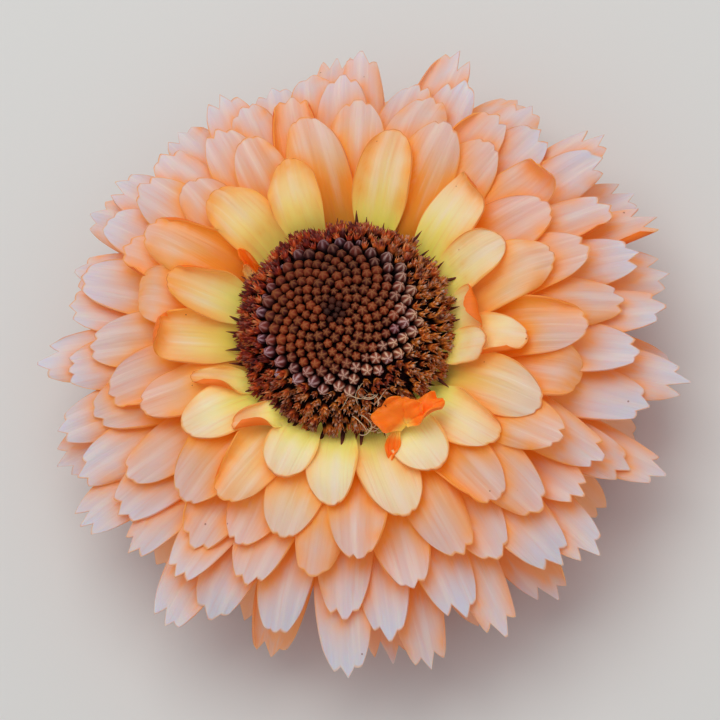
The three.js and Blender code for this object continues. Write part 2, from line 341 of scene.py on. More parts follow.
def petal_surface(i):
    """Corner places of petal i in mm, and what its colours need to know."""
    place = petal_place(i)
    spread, hang = place["spread"], place["hang"]
    at, length = arc(place["root"], place["tip"], place["end_slope"])
    bend, start = math.radians(34) * draw(i, 61) - math.radians(10) * spread, 0.45
    if i in ROLLED_TIPS:
        bend, start = ROLLED_TIPS[i]
    at = bent(at, length, bend, start)
    share, half, ends = outline(i, spread)
    wider = 0.3 + 0.9 * math.sin(math.pi * min(1, spread / 0.8)) ** 2
    half_width = half * (place["width"] + wider) / 2

    grown = smooth(0.25, 0.75, share)
    cup = 0.16 - 0.3 * spread + 0.6 * draw(i, 14)
    curls = {-1: 0.8 * draw(i, 19), 1: 0.8 * draw(i, 20)}
    for side in (-1, 1):
        chance = draw(i, 16 + side)
        if chance > mix(0.36, 0.46, spread):
            curls[side] = 1.7 + 0.9 * draw(i, 22 + side)
        if chance < -0.42:
            curls[side] = -1.1
        if (i, side) in ROLLED_EDGES:
            curls[side] = ROLLED_EDGES[i, side]
    turn = cup * v
    low, high = (0.4, 1.1) if i < PETAL_COUNT else (0.1, 1.0)
    turn = turn + curls[1] * smooth(low, high, v) - curls[-1] * smooth(low, high, -v)
    turn = turn * grown
    step = 2 / ACROSS
    middle = ACROSS // 2
    run = np.cos(turn) * step * half_width
    climb = np.sin(turn) * step * half_width
    across = np.cumsum(run, axis=1) - run / 2
    lift = np.cumsum(climb, axis=1) - climb / 2
    across = across - across[:, middle : middle + 1]
    lift = lift - lift[:, middle : middle + 1]

    fade = np.sin(math.pi * np.clip(share, 0, 1)) ** 0.7
    furrow = np.cos(mix(7, 10, draw(i, 26) + 0.5) * v + 3 * draw(i, 21))
    lift = lift - 0.08 * furrow * fade
    ripple = np.sin(2 * math.pi * (1.2 * share + draw(i, 22)))
    lift = lift + 0.22 * ripple * v * np.abs(v) * grown
    if i >= FIRST_CRUMPLED:
        crumple = np.sin(7 * share + 5 * v + i) + np.sin(11 * share - 4 * v + 2 * i)
        lift = lift + 0.42 * crumple * smooth(0.15, 0.9, share) * np.abs(v) ** 0.7

    twist = place["roll"] + 0.45 * draw(i, 24) * share
    across, lift = (
        across * np.cos(twist) - lift * np.sin(twist),
        across * np.sin(twist) + lift * np.cos(twist),
    )
    across = across + 3.0 * draw(i, 25) * share**2

    where = (place["angle"], place["heading"], place["root"][0])
    to_side = (1 - np.abs(v)) * half_width
    to_tip = (1 - u) * length * ends
    return {
        "places": beside_arc(at, share, across, lift, *where),
        "share": share,
        "across": half_width * v,
        "along": share * length,
        "edge": np.minimum(to_side, to_tip),
        "ring": place["ring"],
    }


sample = petal_surface(60)["places"]
print("petal 60 spans", np.round(sample.min((0, 1)), 1), "to", np.round(sample.max((0, 1)), 1))

# %% [markdown]
# ## Laying the petals on each other
# Real petals press on each other and never pass through. A cloth simulation of 131 sheets would be
# slow, and the stack is simple enough for a height map: the petals are laid from the lowest to the
# highest, and where one would dip into those below, its row of corners is lifted, smoothly along
# the petal and by 3 mm at most. Two dozen pairs of petals still cross.

# %% The height map
CELL = 0.3
HALF_MAP = 46
PETAL_THICKNESS = 0.18
CLEARANCE = 0.1
MOST_LIFT = 3
FLOOR_GAP = 0.02
FOOT_SHARE = 0.3  # of the length from the root, where no lift is asked for
cells = int(2 * HALF_MAP / CELL)
ground = np.full((cells, cells), -99.0)


def cell_of(places):
    index = ((places[..., :2] + HALF_MAP) / CELL).astype(int)
    return np.clip(index, 0, cells - 1)


def finer(grid, times):
    """The grid with `times` as many steps each way, along straight lines."""
    rows, columns = grid.shape[:2]
    r = np.linspace(0, rows - 1, (rows - 1) * times + 1)
    c = np.linspace(0, columns - 1, (columns - 1) * times + 1)
    r0 = np.minimum(r.astype(int), rows - 2)
    c0 = np.minimum(c.astype(int), columns - 2)
    fr = (r - r0)[:, None, None]
    fc = (c - c0)[None, :, None]
    top = grid[r0][:, c0] * (1 - fc) + grid[r0][:, c0 + 1] * fc
    low = grid[r0 + 1][:, c0] * (1 - fc) + grid[r0 + 1][:, c0 + 1] * fc
    return top * (1 - fr) + low * fr


def smooth_rows(lift, passes=14):
    """The lift of each row, spread to its neighbours and then evened out."""
    wide = lift.copy()
    for shift in (1, 2, 3):
        wide[shift:] = np.maximum(wide[shift:], lift[:-shift])
        wide[:-shift] = np.maximum(wide[:-shift], lift[shift:])
    for _ in range(passes):
        padded = np.concatenate([wide[:1], wide, wide[-1:]])
        wide = (padded[:-2] + 2 * padded[1:-1] + padded[2:]) / 4
    return wide


def lay(petal):
    """Lifts the petal clear of those below it, and adds it to the map."""
    places = petal["places"]
    index = cell_of(places)
    below = ground[index[..., 0], index[..., 1]] + CLEARANCE + PETAL_THICKNESS
    need = np.clip(below - places[..., 2], 0, MOST_LIFT)
    need = need * (petal["share"] > FOOT_SHARE)
    lift = smooth_rows(need.max(axis=1))
    places[..., 2] += lift[:, None]
    places[..., 2] = np.maximum(places[..., 2], PETAL_THICKNESS / 2 + FLOOR_GAP)
    dense = finer(places, 4)
    index = cell_of(dense)
    np.maximum.at(ground, (index[..., 0], index[..., 1]), dense[..., 2])
    return float(lift.max())


ALL_PETALS = PETAL_COUNT + len(CURLED)
STACKED_CURLED = 6  # the first curled petals lie on others, and the crumpled floret stands free
STACKED = [*reversed(range(PETAL_COUNT)), *range(PETAL_COUNT, PETAL_COUNT + STACKED_CURLED)]
petals = {i: petal_surface(i) for i in range(ALL_PETALS)}
lifts = [lay(petals[i]) for i in STACKED]
print("largest lift", round(max(lifts), 2), "mm, mean", round(sum(lifts) / len(lifts), 2))

# %% [markdown]
# Where one petal covers another, light reaches the lower one only through the upper, and comes out
# a deep orange. So each corner is told how far it is from the nearest covered corner of its petal.


# %% How near each corner is to a covering petal
COVER_GAP = 0.25
GLOW_REACH = 1.5


def glow_of(petal):
    """1 where the petal is covered, fading over a few mm to 0 in the open."""
    places = petal["places"]
    index = cell_of(places)
    hidden = ground[index[..., 0], index[..., 1]] > places[..., 2] + COVER_GAP
    if not hidden.any():
        return np.zeros(hidden.shape)
    flat_places = places[..., :2].reshape(-1, 1, 2)
    covered = places[hidden][None, :, :2]
    distance = np.sqrt(((flat_places - covered) ** 2).sum(-1).min(axis=1))
    return np.exp(-distance / GLOW_REACH).reshape(hidden.shape)


for petal in petals.values():
    petal["glow"] = glow_of(petal)
print("mean glow of petal 60:", round(float(petals[60]["glow"].mean()), 2))


# %% Making the petals' meshes
def only_select(pieces):
    bpy.ops.object.select_all(action="DESELECT")
    for piece in pieces:
        piece.select_set(True)
    bpy.context.view_layer.objects.active = pieces[0]


def copy_of(template):
    """A copy of a piece with a mesh of its own."""
    piece = template.copy()
    piece.data = template.data.copy()
    bpy.context.collection.objects.link(piece)
    return piece


def carry(piece, **values):
    """Lets each corner of a piece carry numbers or vectors, one for all or one for each."""
    for name, value in values.items():
        value = np.asarray(value, np.float32)
        if value.ndim == 0:
            value = np.full(len(piece.data.vertices), value)
        kind, field = ("FLOAT_VECTOR", "vector") if value.ndim == 2 else ("FLOAT", "value")
        made = piece.data.attributes.new(name, kind, "POINT")
        made.data.foreach_set(field, value.ravel())


def move_corners(piece, places):
    """Moves the corners of a piece to places in mm."""
    piece.data.vertices.foreach_set("co", (places * MM).ravel())


# Painted shade: on this side the inner petals face away from the light, so their colour is painted
# deeper there.
SHADED_SIDE = math.radians(138)  # the inner petals are deepest in colour here, palest opposite


def petal_object(i):
    petal = petals[i]
    piece = copy_of(blank)
    move_corners(piece, petal["places"][pick])
    number = np.full(len(flat), 7.3 * i)
    side = np.broadcast_to(v, petal["share"].shape)
    ring = np.full(len(flat), petal["ring"])
    carry(
        piece,
        grain=np.stack([petal["across"][pick], petal["along"][pick], number], -1),
        placing=np.stack([petal["share"][pick], side[pick], ring], -1),
        edge=petal["edge"][pick],
        glow=petal["glow"][pick],
        chance=draw(i, 30) + 0.5,
        warm=0.5 + 0.5 * math.cos(petal_place(i)["angle"] - SHADED_SIDE),
    )
    return piece


def joined(pieces, name):
    only_select(pieces)
    bpy.ops.object.join()
    piece = bpy.context.object
    piece.name = name
    piece.data.name = name
    return piece


FIRST_MIDDLE = 34
FIRST_OUTER = 82
LAYERS = {
    "inner_petals": [*range(FIRST_MIDDLE), *range(PETAL_COUNT, ALL_PETALS)],
    "middle_petals": range(FIRST_MIDDLE, FIRST_OUTER),
    "outer_petals": range(FIRST_OUTER, PETAL_COUNT),
}
petal_pieces = []
for name, numbers in LAYERS.items():
    petal_pieces.append(joined([petal_object(i) for i in numbers], name))
    print(name, len(petal_pieces[-1].data.polygons), "faces before they are thickened")
bpy.data.objects.remove(blank)

# %% [markdown]
# ## Shader maths as Python
# A material is a net of nodes. Written out link by link it is hard to read, so a small class wraps
# one socket, and its operators add the nodes.


# %% The socket wrapper
class Field:
    """One output socket of a material's node tree."""

    def __init__(self, tree, socket):
        self.tree = tree
        self.socket = socket

    def node(self, kind, settings, values, output=0):
        """Adds a node: its settings are set first, then the values or links of its sockets."""
        made = self.tree.nodes.new(kind)
        for name, value in settings.items():
            if name == "stops":
                set_stops(made.color_ramp, value)
            else:
                setattr(made, name, value)
        for key, value in values.items():
            plug(self.tree, made.inputs[key], value)
        return Field(self.tree, made.outputs[output])

    def maths(self, operation, *values):
        return self.node("ShaderNodeMath", {"operation": operation}, dict(enumerate(values)))

    def maths_of(self, operation):
        return self.maths(operation, self)

    def __add__(self, other):
        return self.maths("ADD", self, other)

    def __sub__(self, other):
        return self.maths("SUBTRACT", self, other)

    def __rsub__(self, other):
        return self.maths("SUBTRACT", other, self)

    def __mul__(self, other):
        return self.maths("MULTIPLY", self, other)

    def __pow__(self, other):
        return self.maths("POWER", self, other)

    __radd__ = __add__
    __rmul__ = __mul__

    def step(self, low, high, start=0.0, end=1.0):
        """A soft step from start at low to end at high."""
        settings = {"interpolation_type": "SMOOTHSTEP"}
        values = {"Value": self, "From Min": low, "From Max": high, "To Min": start, "To Max": end}
        return self.node("ShaderNodeMapRange", settings, values)

    def ramp(self, stops):
        return self.node("ShaderNodeValToRGB", {"stops": stops}, {"Fac": self})

    def ramp_over(self, low, high, stops):
        """A ramp whose 0 and 1 lie at low and high."""
        values = {"Value": self, "From Min": low, "From Max": high}
        return self.node("ShaderNodeMapRange", {}, values).ramp(stops)

    def mixed(self, low, high, factor):
        """A colour from low to high by a factor."""
        settings = {"data_type": "RGBA", "clamp_factor": True}
        return self.node("ShaderNodeMix", settings, {0: factor, 6: low, 7: high}, 2)

    def blend(self, colour, factor):
        """This colour, blended towards another by a factor."""
        return self.mixed(self, colour, factor)

    def coated(self, *coats):
        """This colour under further coats, each a colour and how much of it shows."""
        colour = self
        for coat, factor in coats:
            colour = colour.blend(coat, factor)
        return colour

    def stretched(self, x, y, z):
        values = {"Vector": self, "Scale": (x, y, z)}
        return self.node("ShaderNodeMapping", {}, values)

    def noise(self, scale, detail=2.0):
        values = {"Vector": self, "Scale": scale, "Detail": detail}
        return self.node("ShaderNodeTexNoise", {}, values)

    def part(self, output):
        return self.node("ShaderNodeSeparateXYZ", {}, {"Vector": self}, output)

    def carried(self, name, output=2):
        """What a mesh carries under a name: a number, or a vector from output 1."""
        return self.node("ShaderNodeAttribute", {"attribute_name": name}, {}, output)

    def place(self):
        """The place on the piece, in metres."""
        return self.node("ShaderNodeTexCoord", {}, {}, 3)


def display(red, green, blue):
    """A colour as it shows on a screen, 0 to 255, as the linear colour that a shader takes."""
    shares = [c / 255 for c in (red, green, blue)]
    linear = [s / 12.92 if s < 0.04045 else ((s + 0.055) / 1.055) ** 2.4 for s in shares]
    return (*linear, 1)


def plug(tree, socket, value):
    """Links a field to a socket, or sets its value. Colours are given as they show on a screen."""
    if isinstance(value, Field):
        tree.links.new(value.socket, socket)
    else:
        socket.default_value = display(*value) if socket.type == "RGBA" else value


def set_stops(ramp, stops):
    while len(ramp.elements) < len(stops):
        ramp.elements.new(1)
    for element, (position, colour) in zip(ramp.elements, stops):
        element.position = position
        element.color = display(*colour)


print("mid grey in linear light:", round(display(128, 128, 128)[0], 3))


# %% Starting a material
def new_finish(name, **constants):
    """A material, its shader node and a field to start its maths from."""
    finish = bpy.data.materials.new(name)
    finish.use_nodes = True
    tree = finish.node_tree
    shader = tree.nodes["Principled BSDF"]
    for socket, value in constants.items():
        shader.inputs[socket.replace("_", " ")].default_value = value
    return finish, shader, Field(tree, None)


def clothe(shader, colour, height, distance):
    """Gives a shader its colour, and small bumps up to a distance in mm."""
    values = {"Height": height, "Distance": distance * MM, "Strength": 1.0}
    normal = colour.node("ShaderNodeBump", {}, values)
    plug(colour.tree, shader.inputs["Base Color"], colour)
    plug(colour.tree, shader.inputs["Normal"], normal)


# %% [markdown]
# ## The petals' finish
# Inner petals are lemon yellow at the root and turn cream; on the side of the head where they face
# away from the light they are painted tan and orange as shade. The next are painted a deep orange
# glow where they are covered, for light that comes through the petal above, and are pale pink-peach
# where they see the light; the outermost fade to a greyish white. Each has an orange rim with a
# hair-thin brown-orange line, soft lengthwise furrows and finer veins. Underneath, all are a strong
# orange. The colours could be painted on each petal; they are read from its own coordinates
# instead, so they follow every curl. Thin petals also let light through, which a little light of
# their own stands in for; this painted glow also lifts the shade on the inner petals' yellow roots
# and lights the crumpled floret orange.

# %% Petal colours
CREAM_RAMP = [
    (0.20, (255, 240, 96)),
    (0.38, (253, 240, 132)),
    (0.56, (245, 232, 178)),
    (0.80, (242, 219, 182)),
    (1.00, (242, 202, 158)),
]
TAN_RAMP = [
    (0.20, (255, 236, 92)),
    (0.42, (250, 228, 128)),
    (0.62, (242, 210, 150)),
    (0.82, (240, 190, 128)),
    (1.00, (244, 164, 84)),
]
MIDDLE_RAMP = [
    (0.36, (252, 144, 30)),
    (0.50, (240, 163, 90)),
    (0.64, (231, 178, 142)),
    (0.82, (226, 186, 172)),
    (1.00, (225, 190, 184)),
]
OUTER_RAMP = [
    (0.36, (250, 150, 44)),
    (0.48, (234, 168, 114)),
    (0.62, (220, 182, 168)),
    (0.78, (212, 200, 206)),
    (1.00, (212, 214, 228)),
]
EDGE_COLOUR = (208, 108, 40)
RIM_COLOUR = (252, 156, 56)
UNDER_COLOUR = (255, 120, 8)


def streaks(field, stretch, scale, detail):
    """Streaks along the petal, from 0 to 1."""
    return field.carried("grain", 1).stretched(1, stretch, 1).noise(scale, detail)


FINE_STREAKS = (0.04, 2.6, 2)
BROAD_STREAKS = (0.12, 0.55, 1)


def grain_specks(field):
    """Tiny dots of pollen and wear, a few on each petal."""
    settings = {"feature": "F1"}
    values = {"Vector": field.carried("grain", 1), "Scale": 0.42}
    distance = field.node("ShaderNodeTexVoronoi", settings, values)
    chosen = field.node("ShaderNodeTexVoronoi", settings, values, 1).part(0).step(0.80, 0.82)
    return distance.step(0.07, 0.035) * chosen


def petal_finish():
    finish, shader, field = new_finish(
        "petal_upper_side",
        Roughness=0.55,
        Specular_IOR_Level=0.35,
        Subsurface_Weight=0.5,
        Subsurface_Radius=(1.0, 0.45, 0.2),
        Subsurface_Scale=1.0 * MM,
        Sheen_Weight=0.1,
        Emission_Strength=0.14,
    )
    placing = field.carried("placing", 1)
    share, side, ring = (placing.part(k) for k in range(3))
    names = ("chance", "glow", "warm", "edge")
    chance, glow, warm, edge = (field.carried(name) for name in names)
    fine, broad = streaks(field, *FINE_STREAKS), streaks(field, *BROAD_STREAKS)
    orange = ring.step(-0.4, -0.6)  # 1 on petals that are orange all over
    beside = side.maths_of("ABSOLUTE")
    # Painted light: near covered parts the ramps slide towards orange, as light comes through the
    # petal above.
    along = share + 0.24 * (broad - 0.5) + 0.1 * (chance - 0.5) - 0.2 * glow

    inner_along = share + 0.2 * (broad - 0.5) + 0.12 * (chance - 0.5)
    # Painted shade: where the inner petals face away from the light they turn tan, some deep
    # orange, with stronger orange borders.
    tan = (warm + 0.5 * (chance - 0.5)).step(0.3, 0.7)
    deep = chance.step(0.8, 0.98) * share.step(0.3, 0.7) * warm * 0.8
    border = beside.step(0.4, 1.0) * share.step(0.2, 0.6) * (0.15 + 0.6 * tan)
    # Painted light: covered parts take a deep orange glow for light that comes through the petal
    # above.
    covered = glow * share.step(0.25, 0.5) * ring.step(-0.25, 0.3) * (1 - 0.3 * ring)
    band = (side * 8.5 + 6.0 * (chance - 0.5) + 4.0 * (broad - 0.5)).maths_of("COSINE")
    open_part = share.step(0.3, 0.6) * beside.step(1.0, 0.5) * (1 - glow)
    pale = band.step(-0.4, 1.0) * open_part * (0.4 + 0.6 * broad.step(0.3, 0.65))
    streak = fine.step(0.52, 0.8) * (0.3 - 0.18 * ring.step(0.5, 0.9))
    rim = edge.step(0.42, 0.08) * share.step(0.3, 0.6) * ring.step(1.3, 0.6)
    line = edge.step(0.18, 0.04) * share.step(0.3, 0.6) * broad.step(0.3, 0.55)
    bright = share.ramp([(0.06, (255, 214, 96)), (0.3, (255, 118, 0))])
    colour = inner_along.ramp(CREAM_RAMP).coated(
        (inner_along.ramp(TAN_RAMP), tan),
        ((244, 136, 36), deep),
        ((250, 146, 40), border),
        (along.ramp(MIDDLE_RAMP), ring.step(0.14, 0.36)),
        (along.ramp(OUTER_RAMP), ring.step(0.42, 0.8)),
        ((255, 148, 22), covered * 0.85),
        ((244, 222, 212), pale * 0.42),
        ((236, 138, 84), streak),
        ((252, 234, 216), fine.step(0.48, 0.2) * open_part * 0.3),
        (RIM_COLOUR, rim * broad.step(0.7, 0.45) * 0.75),
        (EDGE_COLOUR, line * (0.8 - 0.3 * ring.step(0.1, 0.5))),
        ((120, 62, 34), grain_specks(field) * 0.7),
        (bright, orange),
    )
    clothe(shader, colour, fine + broad, 0.08)

    # Painted light: the emission is the orange glow of light through covering petals, a yellow glow
    # that lifts the shade on the inner petals' roots, and an orange glow over the crumpled floret.
    root = share.step(1.1, 0.4) * ring.step(0.35, 0.15)
    through = field.mixed((0, 0, 0), (255, 150, 20), covered)
    through = through.coated(((255, 228, 110), root * 0.95), ((255, 116, 0), orange))
    plug(field.tree, shader.inputs["Emission Color"], through)
    return finish


def petal_under_finish():
    finish, shader, field = new_finish(
        "petal_under_side",
        Roughness=0.6,
        Subsurface_Weight=0.2,
        Subsurface_Radius=(1.0, 0.6, 0.3),
        Subsurface_Scale=0.8 * MM,
    )
    share = field.carried("placing", 1).part(0)
    fine = streaks(field, *FINE_STREAKS)
    colour = share.ramp([(0.2, (238, 150, 40)), (0.6, UNDER_COLOUR)])
    colour = colour.blend((220, 96, 12), fine.step(0.45, 0.75) * 0.35)
    clothe(shader, colour, fine, 0.12)
    return finish


both_sides = (petal_finish(), petal_under_finish())
print("finishes:", [finish.name for finish in both_sides])

# %% Thick petals with two sides
SHARP_EDGE = math.radians(50)


def paint(piece, *finishes):
    piece.data.materials.clear()
    for finish in finishes:
        piece.data.materials.append(finish)


def thicken(piece, thickness, under=0):
    """Makes a sheet so many mm thick. Its lower side takes the material `under` places on."""
    only_select([piece])
    bpy.ops.object.shade_smooth()
    sheet = piece.modifiers.new("thickness", "SOLIDIFY")
    sheet.thickness = thickness * MM
    sheet.offset = 0
    sheet.material_offset = under
    sheet.material_offset_rim = 0
    bpy.ops.object.modifier_apply(modifier="thickness")


def belongs(piece, node):
    """Lets a piece ride with the flower and stand for one of its solids."""
    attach(piece, "root")
    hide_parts(node)
    print(piece.name, len(piece.data.polygons), "faces")


for piece in petal_pieces:
    paint(piece, *both_sides)
    thicken(piece, PETAL_THICKNESS, under=1)
    bpy.ops.object.shade_smooth_by_angle(angle=SHARP_EDGE)
    belongs(piece, "petals")

# %% [markdown]
# ## The receptacle
# Petals and florets all grow on one fleshy cushion, the receptacle. Little of it shows between the
# petals' feet, so a turned form is enough: a disc of 48 corners, extruded and scaled ring by ring.


# %% Turned forms
def mode(name):
    bpy.ops.object.mode_set(mode=name)


def turned(name, count, rings):
    """A closed form of rings, each a radius and a height in mm, from the lowest up."""
    bpy.ops.object.select_all(action="DESELECT")
    radius, height = rings[0]
    bpy.ops.mesh.primitive_circle_add(vertices=count, radius=radius * MM, fill_type="NGON")
    piece = bpy.context.object
    piece.name = name
    piece.data.name = name
    mode("EDIT")
    bpy.ops.transform.translate(value=(0, 0, height * MM))
    for next_radius, next_height in rings[1:]:
        rise = {"value": (0, 0, (next_height - height) * MM)}
        bpy.ops.mesh.extrude_region_move(TRANSFORM_OT_translate=rise)
        bpy.ops.transform.resize(value=(next_radius / radius, next_radius / radius, 1))
        radius, height = next_radius, next_height
    bpy.ops.mesh.select_all(action="SELECT")
    bpy.ops.mesh.normals_make_consistent(inside=False)
    mode("OBJECT")
    bpy.ops.object.shade_smooth()
    return piece


# %% The receptacle's form
RECEPTACLE_RINGS = [
    (4.5, 7.4), (6.3, 7.7), (7.4, 9.2), (9.0, 13.0), (10.6, 17.0),
    (11.5, 20.2), (11.4, 21.2), (10.9, 21.9), (6.0, 22.0),
]
receptacle = turned("receptacle", 48, RECEPTACLE_RINGS)

# %% [markdown]
# ## The disc's florets
# The dark dome is about seven hundred tiny flowers. In the middle they are closed buds, each a knob
# of five lobes that meet in pale seams; towards the edge the buds are larger and about to split;
# the outermost are open, with five pointed lobes round a column of stamens. Modelling each would
# take days and add nothing, so there is one bud and one open floret, and the spiral sets the copies
# out.

# %% One bud
BUD_RINGS = [
    (0.34, -0.9), (0.54, -0.30), (0.66, 0.20), (0.61, 0.52), (0.38, 0.78), (0.08, 0.88),
]
bud = turned("bud", 10, BUD_RINGS)


def lobe(co):
    """1 on the five directions of the lobes' seams, -1 half way between."""
    return math.cos(5 * math.atan2(co[1], co[0]) + math.pi / 2)


def reshape(piece, test, wider, rise=0.0):
    """Scales the corners that pass a test about the axis, and lifts them by a rise in mm."""
    only_select([piece])
    mode("EDIT")
    bpy.ops.mesh.select_mode(type="VERT")
    bpy.ops.mesh.select_all(action="DESELECT")
    mode("OBJECT")
    for corner in piece.data.vertices:
        corner.select = test(corner.co / MM)
    mode("EDIT")
    bpy.ops.transform.resize(value=(wider, wider, 1), center_override=(0, 0, 0))
    bpy.ops.transform.translate(value=(0, 0, rise * MM))
    mode("OBJECT")


reshape(bud, lambda co: lobe(co) < 0 and co.z > -0.5, 0.88)
print("bud:", len(bud.data.polygons), "faces")

# %% [markdown]
# The open floret starts as the same turned form, wider at its mouth. Every other corner of its rim
# is drawn up and out into a pointed lobe, and the throat and the stamens are further rings.

# %% One open floret
FLORET_RINGS = [
    (0.26, -0.8), (0.40, 0.55), (0.48, 0.90), (0.24, 0.60), (0.12, 0.95), (0.03, 1.26),
]
open_floret = turned("open_floret", 10, FLORET_RINGS)
reshape(open_floret, lambda co: 0.85 < co.z < 0.95 and lobe(co) > 0, 1.35, 0.42)
reshape(open_floret, lambda co: 0.85 < co.z < 0.95 and lobe(co) < 0, 0.78, -0.25)
print("open floret:", len(open_floret.data.polygons), "faces")

# %% Where the florets stand
BUD_ZONE = 9.0  # radius in mm of the closed buds
CELL_AREAS = (0.62, 1.3, 1.8, 0.95)  # mm2: in the middle, round it, at the zone's edge, beyond
RIPEST_ANGLE = math.radians(-35)  # the side whose buds are ahead of the others


def floret_cell(r):
    """Area in mm2 that one floret takes at radius r."""
    middle, inner, edge, beyond = CELL_AREAS
    young = mix(middle, inner, smooth(0, 4, r))
    ripe = mix(young, edge, smooth(BUD_ZONE - 2.8, BUD_ZONE - 0.6, r))
    return mix(ripe, beyond, smooth(BUD_ZONE - 0.2, BUD_ZONE + 0.6, r))


heights = np.linspace(DISC_RISE, -0.6, 4000)
radii = DISC_RADIUS * np.sqrt(1 - (heights / DISC_RISE) ** 2)
steps = np.hypot(np.diff(heights), np.diff(radii))
middles = (radii[1:] + radii[:-1]) / 2
counts = np.concatenate([[0], np.cumsum(2 * math.pi * middles * steps / floret_cell(middles))])
FLORET_COUNT = int(counts[-1])
print(FLORET_COUNT, "florets")


def floret_place(k):
    """Matrix in mm of floret k, and its radius."""
    height = float(np.interp(k + 0.5, counts, heights))
    r = DISC_RADIUS * math.sqrt(1 - (height / DISC_RISE) ** 2)
    loose = float(smooth(BUD_ZONE - 0.4, BUD_ZONE + 0.8, r))
    angle = k * GOLDEN_ANGLE + 0.07 * loose * draw(k, 10)
    normal = Vector((r / DISC_RADIUS**2, 0, height / DISC_RISE**2)).normalized()
    lean = 0.32 * float(smooth(BUD_ZONE - 2.4, BUD_ZONE, r)) + (0.12 + 0.7 * loose) * draw(k, 1)
    normal = (normal + Vector((lean, (0.2 + 0.9 * loose) * draw(k, 2), 0.12))).normalized()
    turn = Matrix.Rotation(angle, 4, "Z")
    up_turn = normal.to_track_quat("Z", "Y").to_matrix().to_4x4()
    spin = Matrix.Rotation(2 * math.pi * draw(k, 3), 4, "Z")
    place = Vector((r, 0, DISC_WAIST + height))
    return turn @ Matrix.Translation(place) @ up_turn @ spin, r


# %% Setting the florets out
OPEN, SPIKE, THREAD = 2.0, 3.0, 4.0  # kinds of thing, as the finish reads them from "ripe"


def mark(template, seam):
    """Lets each corner carry its height in mm, and how near it is to a seam."""
    own = corners(template) / MM
    carry(template, seam=[seam(co) for co in own], rise=own[:, 2])


def in_metres(matrix):
    """The matrix that does in metres what this one does in mm."""
    back_to_mm = Matrix.Diagonal((1 / MM, 1 / MM, 1 / MM, 1))
    return Matrix.Diagonal((MM, MM, MM, 1)) @ matrix @ back_to_mm


def placed_copy(template, matrix, chance, kind):
    """A copy of a template at a matrix in mm, with what its colours need to know."""
    piece = copy_of(template)
    piece.data.transform(in_metres(matrix))
    carry(piece, chance=chance, ripe=kind)
    return piece


for template in (bud, open_floret):
    mark(template, lambda co: max(0.0, lobe(co)))
florets = []
for k in range(FLORET_COUNT):
    matrix, r = floret_place(k)
    early = 0.9 * math.cos(k * GOLDEN_ANGLE - RIPEST_ANGLE) + 0.5 * draw(k, 5)
    ripe = float(smooth(BUD_ZONE - 2.2, BUD_ZONE, r + early))
    is_open = r + 0.9 * draw(k, 6) > BUD_ZONE
    uneven = 0.7 if is_open else 0.22
    size = math.sqrt(float(floret_cell(r)) / 1.22) * (1 + uneven * draw(k, 4))
    stretch = size * (1.15 + 0.5 * draw(k, 7)) if is_open else size * (1 + 0.5 * ripe)
    scaled = matrix @ Matrix.Diagonal((size, size, stretch, 1))
    split = is_open and (draw(k, 8) < 0.32 or r > BUD_ZONE + 0.6)
    template = open_floret if split else bud
    kind = OPEN if split else ripe - float(smooth(2.4, 0.6, r))
    florets.append(placed_copy(template, scaled, draw(k, 9) + 0.5, kind))
disc = joined(florets, "disc_of_florets")

# %% [markdown]
# ## The disc's edge
# Round the rim stand dark pointed stamen tubes, some of them bent over the feet of the petals, and
# a few pale withered threads. They could be drawn as curves, but they are tiny: a six-sided cone is
# enough for a spike, and a five-sided rod, curled by a formula, for a thread.

# %% Spikes and threads
SPIKE_RINGS = [(0.22, -1.2), (0.24, 0.0), (0.19, 0.9), (0.10, 1.6), (0.02, 2.1)]
SPIKES = 46
SPIKE_RADIUS = 12.4
spike = turned("spike", 6, SPIKE_RINGS)
mark(spike, lambda co: 0.0)
spikes = []
for k in range(SPIKES):
    angle = 2 * math.pi * (k + 0.7 * draw(k, 12)) / SPIKES
    lean = math.radians(68 + 30 * draw(k, 13))
    foot = Vector((SPIKE_RADIUS, 0, DISC_WAIST - 0.4 + draw(k, 14)))
    out = Matrix.Rotation(angle, 4, "Z") @ Matrix.Translation(foot)
    size = 1.15 + 0.6 * draw(k, 15)
    turn = Matrix.Rotation(lean, 4, "Y") @ Matrix.Rotation(0.5 * draw(k, 16), 4, "X")
    matrix = out @ turn @ Matrix.Diagonal((size, size, size, 1))
    spikes.append(placed_copy(spike, matrix, draw(k, 17) + 0.5, SPIKE))
disc = joined([disc, *spikes], "disc_of_florets")
print(SPIKES, "spikes")

# %% Pale threads
THREADS = 18
THREAD_RADIUS = 0.05
THREAD_SIDE = -77  # in degrees, the side of the disc where they lie
thread = turned("thread", 5, [(THREAD_RADIUS, 0.25 * k) for k in range(17)])
mark(thread, lambda co: 0.0)


def curl_thread(own, radius, rise):
    """Bends a straight thread into a rising curl."""
    turn = own[:, 2] / radius
    ring_x = (radius + own[:, 0]) * np.cos(turn) - radius
    ring_z = (radius + own[:, 0]) * np.sin(turn)
    return np.stack([ring_x, own[:, 1] + rise * turn, ring_z], axis=-1)


